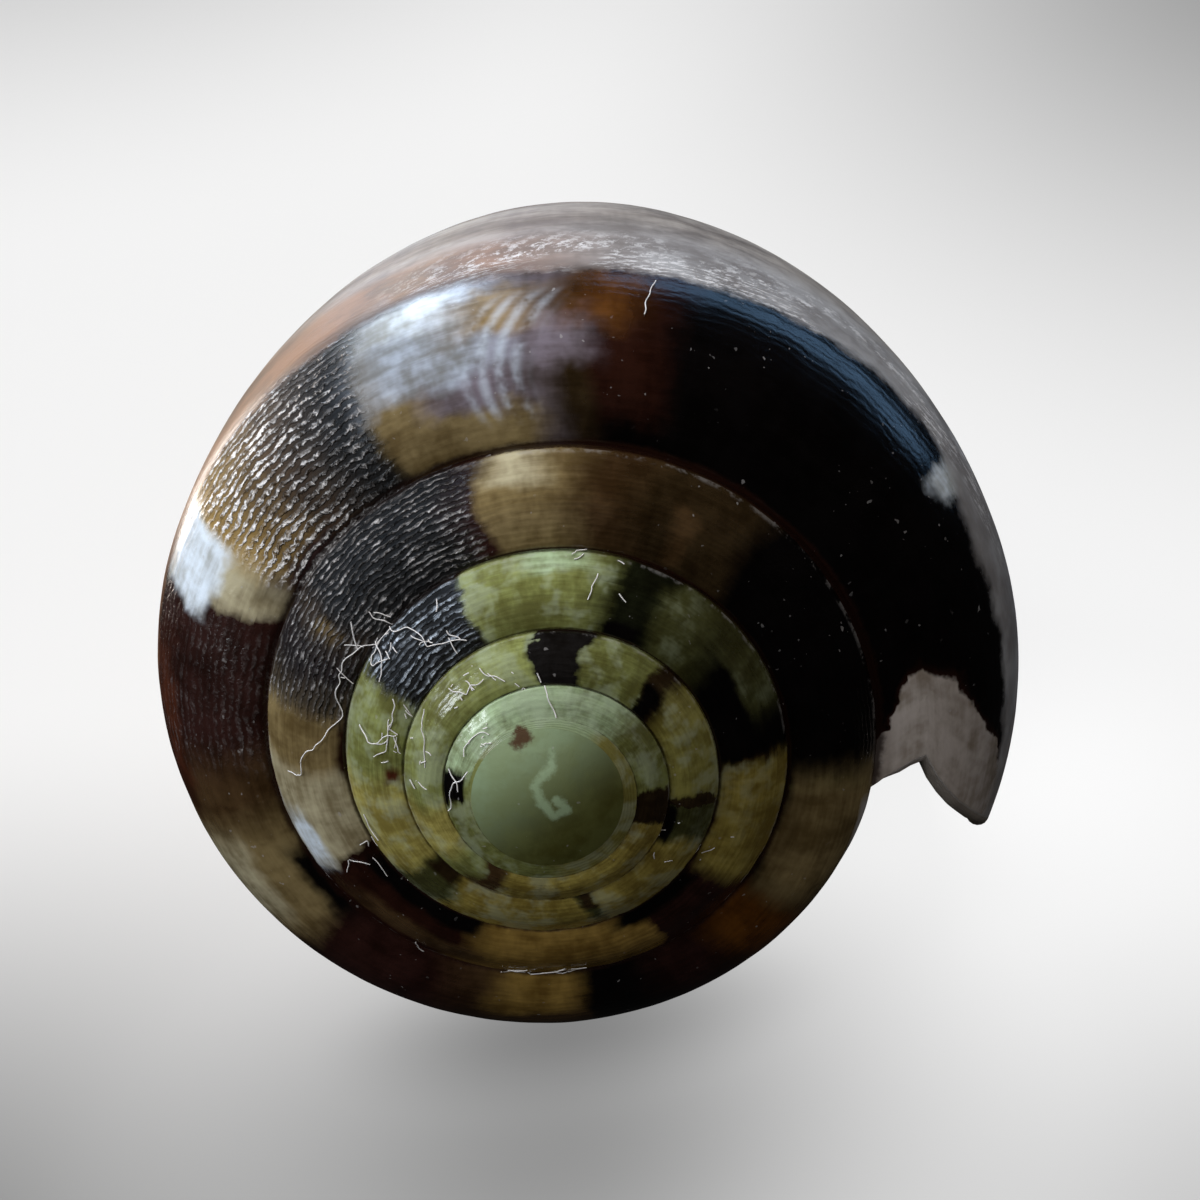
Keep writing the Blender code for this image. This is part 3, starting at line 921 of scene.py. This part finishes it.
@node_group(LOOK, "Gap to a line", {"Where": ORIGIN, "One": ORIGIN, "Two": (0.0, 0.0, 1.0)}, {"Gap": FLOAT})
def line_gap(where, one, two):
    """How far a point is from the line between two others."""
    away = vector("SUBTRACT", where, one)
    along = vector("SUBTRACT", two, one)
    share = clamp(vector("DOT_PRODUCT", away, along) / vector("DOT_PRODUCT", along, along))
    return vector("LENGTH", vector("SUBTRACT", away, vector("SCALE", along, share)))


across = vector("SUBTRACT", where, tuple(CAP_TIP))
across = vector("DOT_PRODUCT", across, CAP_LIGHT_WAY) / CAP_RADIUS
# Painted light: the cap runs from a shaded olive to a lit pale green along the way of the light.
cap = blend(ramp(across, -0.6, 1.2), "cap_shade_olive", "jade")
cap = blend(ramp(mottle, 0.35, 0.65) * 0.35, cap, "fern")
colour = blend(ramp(turn, 5.585, 5.60) * ramp(place, 0.001, 0.0), colour, cap)

specks = ramp(noise(where, 4200.0, 1.0), 0.735, 0.775) * ramp(cloud, 0.42, 0.60)
colour = blend(specks * 0.38, colour, "taupe")
print("with the cap and specks of dust:", len(tree.nodes), "nodes")

# %% [markdown]
# Pale arcs stand on the cream stretch, where the lip once paused. They are a
# fine wave along the turn, seen only inside one patch.

# %% Pale arcs, chalk and rust
ARC_SPACING, ARC_BEND, ARC_MIDDLE = 0.0075, 0.12, 0.36
ARC_PATCH = (0.292, 0.318, 0.15, 0.70, 0.006)
CHALK_WIDTH, RUST_WIDTH = (0.00024, 0.00006), (0.00036, 0.00016)
dip = place - ARC_MIDDLE
paused = turn + dip * dip * ARC_BEND + (cloud - 0.5) * 0.005
arcs = ((paused * (math.tau / ARC_SPACING)).sin() + 1.0) * 0.5
arcs = arcs * patch(paused, place, *ARC_PATCH)
colour = blend(arcs * ramp(mottle, 0.35, 0.6) * 0.38, colour, "ice")

crumbs = noise(where, 2600.0, 3.0, 0.7) - 0.5
chalk = line_gap(where, *CHALK_MARK[:2])
for one, two in zip(CHALK_MARK[1:], CHALK_MARK[2:]):
    chalk = chalk.at_most(line_gap(where, one, two))
colour = blend(ramp(chalk + crumbs * 0.0004, *CHALK_WIDTH) * 0.62, colour, "mint")
stain = line_gap(where, *RUST_MARK)
colour = blend(ramp(stain + crumbs * 0.0006, *RUST_WIDTH) * 0.9, colour, "rust")
print("with arcs and marks:", len(tree.nodes), "nodes")

# %% [markdown]
# The side of the body has lost its glaze. It is dull grey and brown, with the
# growth lines and cords showing, and chalky scuffs along the shoulder. A brown
# line runs where the glaze ends.

# %% The worn side
WORN_SHARE, EDGE_SHARE = 0.86, 0.55
GLAZE_ENDS = (0.82, 0.90)     # the glaze fades between these places
SCUFFS_ALONG, SCUFFS_ACROSS, SCUFF_SLANT = 150.0, 50.0, 45.0
last = ramp(turn, 1.0, 0.99)
lower = ramp(place, 1.04, 1.16)
film = noise(where, 260.0, 4.0, 0.7)
blotch = coil_noise(9.0, 9.0, 2.0, 4.0, 0.6)
growth = coil_noise(110.0, 5.0, 6.0, 2.0, 0.7)
cords = coil_noise(14.0, 110.0, 5.0, 2.0, 0.6)
film = mix(lower, film, film * 0.45 + blotch * 0.33 + growth * 0.12 + cords * 0.10)
brown = ramp(turn + (blotch - 0.5) * 0.5 * lower, 0.235, 0.325 + lower * 0.22)
brown = brown * ramp(turn, 0.95, 0.7)
worn = blend(ramp(film, 0.35, 0.65) * 0.7, blend(brown, "dust", "bark"), blend(brown, "stone", "umber"))
worn = blend(lower * 0.5, worn, blend(ramp(film, 0.40, 0.60), "sand", "umber"))

slanted = place * SCUFFS_ACROSS + turn * SCUFF_SLANT
scuffs = noise(join(turn * SCUFFS_ALONG, slanted, 0.0), 1.0, 4.0, 0.8)
scuffed = ramp(scuffs, 0.49, 0.60) * ramp(cloud, 0.34, 0.56)
scuffed = scuffed * ramp(place, 0.78, 0.84) * ramp(place, 1.10, 1.0)
scuffed = scuffed * ramp(turn, 0.06, 0.12) * ramp(turn, 0.36, 0.28)
worn = blend(scuffed, worn, "chalk")

early = ramp(turn, 0.14, 0.09) * 0.20
side = ramp(place + early + (mottle - 0.5) * 0.12, *GLAZE_ENDS) * last
colour = blend(side * WORN_SHARE, colour, worn)
wavy = place + (film - 0.5) * 0.2
edge_line = ramp(wavy, 0.82, 0.87) * ramp(wavy, 0.96, 0.90)
colour = blend(edge_line * brown * EDGE_SHARE, colour, "chestnut")
inside = ramp(place, 3.0, 9.0)
colour = blend(inside, colour, "cream")
print("with the worn side:", len(tree.nodes), "nodes")

# %% [markdown]
# Four bands are granular. Their beads stand up out of a black ground, and their
# crests are partly worn pale and partly painted with glints, most of all on the golden band at the left.

# %% Granular bands
GRANULAR = (
    # from turn, to turn, how strongly
    (0.362, 0.44, 1.0), (0.478, 0.552, 0.12), (1.33, 1.5, 1.0), (2.356, 2.45, 1.0),
)
threads, beads, crests = threads_and_beads(turn, place, where)
dark = ramp(brightness(colour), 0.10, 0.02) * ramp(turn, 0.28, 0.36)
beaded = turn * 0.0
for start, end, amount in GRANULAR:
    beaded = beaded.at_least(patch(ragged_turn, place, start, end, 0.0, 1.0) * amount)
beaded = beaded * (1.0 - side)
golden = ramp(turn, 0.375, 0.410) * ramp(turn, 0.48, 0.46)
# The crest paint and its share stand partly for pale wear and partly for painted glints, bluish white on the
# old whorl.
crest_and_glint_paint = blend(golden, blend(ramp(turn, 2.0, 2.3), "taupe", "ice"), "chalk")
colour = blend(beaded * (1.0 - golden) * 0.6, colour, "black")
glint_share = (ramp(cloud, 0.40, 0.58) * 0.9 + 0.4) * (0.85 + golden * 1.7)
colour = blend(clamp(crests * beaded * glint_share), colour, crest_and_glint_paint)
plug(colour, surface.inputs["Base Color"])
print("with the granular bands:", len(tree.nodes), "nodes")

# %% [markdown]
# The glaze is smooth and the worn side isn't, so roughness follows the same
# masks. Two bumps tilt the light: first the fine threads and growth lines, then
# the beads. Colour stays out of their heights, because a bump works its height
# out three times.

# %% Gloss and relief
GLAZE_ROUGH, WORN_ROUGH, GROUND_ROUGH = 0.14, 0.52, 0.72
THREAD_HEIGHT, BEAD_HEIGHT = 0.00010, 0.00014


def bump(height, strength, distance, *before):
    """Tilt the light by a height in metres; bumps can follow one another."""
    return add(height.tree, "ShaderNodeBump", ("Distance", distance), ("Height", height),
               ("Strength", strength), *(("Normal", normal) for normal in before))


half_worn = WORN_ROUGH - ramp(turn, 0.35, 0.40) * ramp(turn, 0.75, 0.65) * 0.22
rough = mix(side * (1.0 - inside), mottle * 0.16 + GLAZE_ROUGH, half_worn)
rough = mix(beaded, rough, GROUND_ROUGH - ramp(crests, 0.05, 0.45) * 0.52)
plug(rough, surface.inputs["Roughness"])
fine = bump(threads * 0.10 + mottle * 0.25 + growth * lower * 0.5, 0.6, THREAD_HEIGHT)
plug(bump(beads, beaded + dark * 0.08, BEAD_HEIGHT, fine), surface.inputs["Normal"])
surface.inputs["IOR"].default_value = 1.53     # a shell bends light a little more than glass

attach(shell, "root")
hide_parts("cone_shell")
print("the whole material:", len(tree.nodes), "nodes")

# %% [markdown]
# ## Lint
# Lint has caught on the spire. Each fibre follows a few marks given as turn and
# place, wanders between them, and stays a hair's breadth above the shell. So the
# mesh is searched for the points with those turns and places.

# %% Points of the shell, found by turn and place
def corner_table(obj):
    """Turn, place and vertex number of every corner of the mesh."""
    coil = obj.data.uv_layers["coil"].uv
    flat = [0.0] * (2 * len(coil))
    coil.foreach_get("vector", flat)
    owner = [0] * len(obj.data.loops)
    obj.data.loops.foreach_get("vertex_index", owner)
    return list(zip(flat[0::2], flat[1::2], owner))


CORNERS = corner_table(shell)
LOOKUP = BVHTree.FromPolygons([v.co for v in shell.data.vertices],
                              [tuple(p.vertices) for p in shell.data.polygons])
print(len(CORNERS), "corners to look among")


def spot_on_shell(turn, place):
    """The vertex nearest to a turn and place."""
    near = [c for c in CORNERS if abs(c[0] - turn) < 0.006 and -0.1 < c[1] < 1.1]
    best = min(near, key=lambda c: 9.0 * (c[0] - turn) ** 2 + (c[1] - place) ** 2)
    return shell.data.vertices[best[2]].co.copy()


# %% The way of one fibre
FINE_LIFT, LIFT = 0.00003, 0.00006
STEP = 0.00007
SWAY = 0.00034


def smooth_way(ends):
    """Points along a smooth curve through the ends."""
    rail = [2.0 * ends[0] - ends[1]] + ends + [2.0 * ends[-1] - ends[-2]]
    points = []
    for a, b, c, d in zip(rail, rail[1:], rail[2:], rail[3:]):
        count = max(3, round((c - b).length / STEP))
        for t in (i / count for i in range(count)):
            points.append(0.5 * (2.0 * b + (c - a) * t + (2.0 * a - 5.0 * b + 4.0 * c - d) * t * t
                                 + (3.0 * b - a - 3.0 * c + d) * t * t * t))
    return points


def fibre(marks, lift=LIFT):
    """Points along one fibre."""
    points = smooth_way([spot_on_shell(*mark) for mark in marks])
    drift = Vector([random.uniform(-9.0, 9.0) for _ in range(3)])
    out = []
    for i, point in enumerate(points):
        wander = mathutils.noise.noise_vector(point * 900.0 + drift) * SWAY
        wander += mathutils.noise.noise_vector(point * 2400.0 + drift) * SWAY * 0.40
        spot, normal, _, _ = LOOKUP.find_nearest(point + wander)
        out.append(spot + normal * (lift * (1.2 + math.sin(i * 0.13 + drift.x))))
    return out


print("a fibre has a point every", round(1000 * STEP, 3), "mm")

# %% Where the fibres lie
MAIN_FIBRES = (
    # each fibre is a row of (turn, place) marks
    ((1.408, 0.0), (1.411, 0.25)),
    ((1.42, 0.0), (1.445, 0.15), (1.462, 0.18), (1.5, 0.12), (1.522, 0.28), (1.532, 0.42), (1.545, 0.45),
     (1.545, 0.62)), ((1.462, 0.18), (1.47, 0.05)), ((1.412, 0.02), (2.44, 0.92), (2.43, 0.75)),
    ((2.365, 0.2), (2.39, 0.32), (2.395, 0.6), (2.41, 0.98)), ((2.43, 0.98), (2.442, 0.75), (2.456, 0.66)),
    ((2.45, 0.38), (2.475, 0.22), (2.482, 0.04)), ((2.475, 0.22), (2.5, 0.2), (2.516, 0.42)),
    ((2.49, 0.7), (2.502, 0.5), (2.49, 0.3), (2.478, 0.1)), ((2.486, 0.12), (2.5, 0.04)),
    ((2.6, 0.7), (2.575, 0.85)), ((3.34, 0.3), (3.36, 0.7)), ((3.36, 0.4), (3.4, 0.55), (3.41, 0.8)),
    ((3.44, 0.9), (3.47, 0.5), (3.5, 0.4)), ((4.27, 0.1), (4.28, 0.6)), ((4.28, 0.9), (4.275, 0.5)),
    ((4.4, 0.2), (4.43, 0.6), (4.46, 0.4)), ((4.56, 0.95), (4.52, 0.8), (4.5, 0.4), (4.47, 0.1)),
    ((4.485, 0.9), (4.5, 0.6), (4.52, 0.35)), ((1.605, 0.16), (1.608, 0.06), (1.614, 0.12)),
    ((1.62, 0.1), (1.64, 0.18)), ((1.7, 0.95), (1.695, 0.7)), ((1.765, 0.95), (1.775, 0.7), (1.79, 0.6)),
    ((0.243, 0.76), (0.247, 0.56)), ((1.752, 0.93), (1.76, 0.99), (1.768, 0.93), (1.782, 0.97), (1.79, 0.92)),
)
TUFTS = (
    # turn, place, how many short hairs
    (1.44, 0.08, 6), (2.4, 0.6, 9), (2.48, 0.15, 10), (3.38, 0.5, 9), (3.5, 0.6, 7), (4.42, 0.4, 8),
    (2.25, 0.85, 5), (3.32, 0.15, 5), (1.95, 0.1, 4), (1.77, 0.94, 3), (2.95, 0.1, 4), (1.62, 0.1, 4),
)


def lint_lines():
    """All the fibres as one mesh of edges."""
    random.seed(7)
    mathutils.noise.seed_set(7)
    paths = [fibre(marks) for marks in MAIN_FIBRES]
    for turn, place, count in TUFTS:
        for _ in range(count):
            t = turn + random.uniform(-0.03, 0.03)
            p = min(0.95, max(0.03, place + random.uniform(-0.25, 0.25)))
            end = (t + random.uniform(-0.012, 0.012), min(1.0, max(0.0, p + random.uniform(-0.25, 0.25))))
            paths.append(fibre(((t, p), end), FINE_LIFT))
    points, edges = [], []
    for path in paths:
        edges += [(len(points) + i, len(points) + i + 1) for i in range(len(path) - 1)]
        points += path
    mesh = bpy.data.meshes.new("lint lines")
    mesh.from_pydata(points, edges, [])
    print(len(paths), "fibres,", len(points), "points")
    return mesh


# %% [markdown]
# A second tree turns the bare lines into thin tubes with closed ends. They are
# real mesh, because hair curves wouldn't be kept with the model.

# %% From lines to tubes
@node_group(FORM, "Lint", {
    "Lines": GEOMETRY, "Radius": 0.000020, "Sides": 4, "Material": MATERIAL}, {"Geometry": GEOMETRY})
def lint_tubes(lines, radius, sides, material):
    ring = add(lines.tree, "GeometryNodeCurvePrimitiveCircle", ("Radius", radius), ("Resolution", sides))
    tubes = then(then(lines, "MeshToCurve"), "CurveToMesh", ("Profile Curve", ring), ("Fill Caps", True))
    return finished(tubes, material)


def plain_material(name, roughness):
    """A material with one Principled BSDF, and that node."""
    material = bpy.data.materials.new(name)
    material.use_nodes = True
    look = material.node_tree.nodes["Principled BSDF"]
    look.inputs["Roughness"].default_value = roughness
    return material, look


lint_cloth, cloth = plain_material("lint", 0.6)
plug(PAINTS["chalk"], cloth.inputs["Base Color"])
lint = plain_mesh("lint", lint_tubes.group, lint_lines(), Material=lint_cloth)
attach(lint, "root")
print("lint has", len(lint.data.polygons), "faces")

# %% [markdown]
# ## Floor, light and camera
# The shell lies on a plain pale floor. Lights alone can't give it every soft
# shadow that belongs there, so its material is a pale grey with painted shadows:
# soft dark patches, darker corners, and one brighter patch of painted light.
# Each patch is a distance from its middle, stretched two ways.

# %% The floor
SHADES = (
    # x and y of the middle, half width, half depth in metres, how dark; a negative amount paints light
    (0.048, 0.064, 0.054, 0.076, 0.7), (-0.03, 0.12, 0.08, 0.072, 0.44), (-0.031, -0.031, 0.036, 0.038, 0.8),
    (-0.003, -0.0255, 0.018, 0.018, 0.62), (-0.003, -0.019, 0.01, 0.005, 0.45),
    (0.02, -0.036, 0.024, 0.02, 0.4), (0.012, -0.01, 0.014, 0.012, -0.13),
)
FLOOR_HALF = 3.0
FLOOR_GREY = 0.90

mesh = bpy.data.meshes.new("floor")
mesh.from_pydata([(x * FLOOR_HALF, y * FLOOR_HALF, 0) for x, y in ((-1, -1), (1, -1), (1, 1), (-1, 1))],
                 [], [(0, 1, 2, 3)])
floor = bpy.data.objects.new("floor", mesh)
bpy.context.scene.collection.objects.link(floor)
pale, look = plain_material("pale floor", 0.9)
mesh.materials.append(pale)
look.inputs["Specular IOR Level"].default_value = 0.1
spot = add(pale.node_tree, "ShaderNodeTexCoord", out="Object")
grey = split(spot)[2] + FLOOR_GREY
for x, y, wide, deep, amount in SHADES:
    away = vector("MULTIPLY", vector("SUBTRACT", spot, (x, y, 0.0)), (1.0 / wide, 1.0 / deep, 0.0))
    grey = grey * (1.0 - ramp(vector("LENGTH", away), 1.0, 0.0) * amount)
plug(join(grey, grey, grey), look.inputs["Base Color"])
floor.visible_glossy = floor.visible_diffuse = False
print("floor with", len(SHADES), "soft shades")

# %% [markdown]
# A tall window stands behind the shell and to its left, and a narrow one on its
# right gives the blue band on the black whorl. A picture of a room could light
# them too, but with area lights each reflection can be moved by itself. Light
# linking keeps the shell's lights off the floor.

# %% Lights
DAY, SKY, WARM = (1.0, 1.0, 1.0), (0.70, 0.84, 1.0), (1.0, 0.97, 0.92)
AIM = Vector((0.0, -0.012, 0.014))


def window(name, azimuth, height, distance, size, power, colour, lit, roll=0.0, glossy=True):
    """Soft area light that looks at the shell. Azimuth 0 is behind it, 90 on its right."""
    light = bpy.data.lights.new(name, "AREA")
    light.shape = "RECTANGLE"
    light.size, light.size_y = size
    light.energy = power
    light.color = colour
    obj = bpy.data.objects.new(name, light)
    a, h = math.radians(azimuth), math.radians(height)
    way = Vector((math.sin(a) * math.cos(h), math.cos(a) * math.cos(h), math.sin(h)))
    obj.location = way * distance + AIM
    obj.rotation_euler = way.to_track_quat("Z", "Y").to_euler()
    obj.rotation_euler.rotate_axis("Z", math.radians(roll))
    obj.visible_glossy = glossy
    bpy.context.scene.collection.objects.link(obj)
    group = bpy.data.collections.new(name + " lights")
    for target in lit:
        group.objects.link(target)
    obj.light_linking.receiver_collection = group
    return light


WINDOWS = (
    # name, azimuth, height, size, power, colour, roll
    ("tall window", -16, 22, (0.05, 0.26), 0.22, SKY, 0),
    ("wide window", -52, 50, (0.34, 0.24), 0.42, (0.50, 0.72, 1.0), 0),
    ("blue strip", 44, 22, (0.34, 0.055), 0.12, (0.32, 0.60, 1.0), 43),
    ("back wall", -18, -2, (0.28, 0.14), 0.08, (1.0, 0.97, 0.95), 0),
    ("left window", -42, 4, (0.06, 0.16), 0.34, (1.0, 0.88, 0.78), 0),
    ("side window", -122, 32, (0.06, 0.06), 0.22, (0.86, 0.94, 1.0), 0),
)
FILLS = (
    # name, azimuth, height, power; they light the shell but aren't seen in the glaze
    ("left fill", -100, 40, 0.50), ("front fill", -170, 30, 0.17), ("right fill", 110, 10, 0.16),
    ("top fill", 0, 75, 1.0),
)
for name, azimuth, height, size, power, colour, roll in WINDOWS:
    window(name, azimuth, height, 0.30, size, power, colour, (shell, lint), roll)
for name, azimuth, height, power in FILLS:
    window(name, azimuth, height, 0.35, (0.3, 0.2), power, WARM, (shell, lint), glossy=False)
window("floor light", 0, 90, 0.8, (0.8, 0.8), 0.10, DAY, (floor,))
window("floor glow", 0, 90, 6.0, (8.0, 8.0), 555.0, DAY, (floor,)).use_shadow = False
print(len(WINDOWS), "windows,", len(FILLS), "fills and two lights for the floor")

# %% [markdown]
# The room is white to the camera and nearly dark as a light, so that the
# windows alone shape the glaze. A Light Path node tells the two apart.

# %% The room around
ROOM_SEEN, ROOM_LIGHT = 0.85, 0.006     # bright to the camera, nearly dark as a light
world = bpy.data.worlds.new("room")
bpy.context.scene.world = world
world.use_nodes = True
backdrop = world.node_tree.nodes["Background"]
backdrop.inputs["Color"].default_value = (1.0, 1.0, 1.0, 1.0)
seen = add(world.node_tree, "ShaderNodeLightPath", out="Is Camera Ray")
plug(seen * ROOM_SEEN + ROOM_LIGHT, backdrop.inputs["Strength"])
print("the room gives", ROOM_LIGHT, "of its white as light")

# %% [markdown]
# The camera looks down at the spire from close by, so the near whorls look
# larger than the body behind them. Its three axes say which way it is turned.

# %% Camera
CAMERA_PLACE = (0.006729, -0.098024, 0.070498)
CAMERA_AXES = (
    (0.98581551, -0.03747693, -0.16359469),     # to the right
    (0.15644218, 0.55816529, 0.81484809),       # up
    (0.06077487, -0.828883, 0.55611099),        # back, away from the shell
)
lens = bpy.data.cameras.new("camera")
lens.lens = 89.277
lens.sensor_width = 36.0
lens.clip_start = 0.005
camera = bpy.data.objects.new("camera", lens)
camera.matrix_world = Matrix.Translation(CAMERA_PLACE) @ Matrix(CAMERA_AXES).transposed().to_4x4()
bpy.context.scene.collection.objects.link(camera)
bpy.context.scene.camera = camera
bpy.context.scene.view_settings.view_transform = "Standard"
print("camera", round(1000 * (Vector(CAMERA_PLACE) - AIM).length), "mm from the shell")

# %% [markdown]
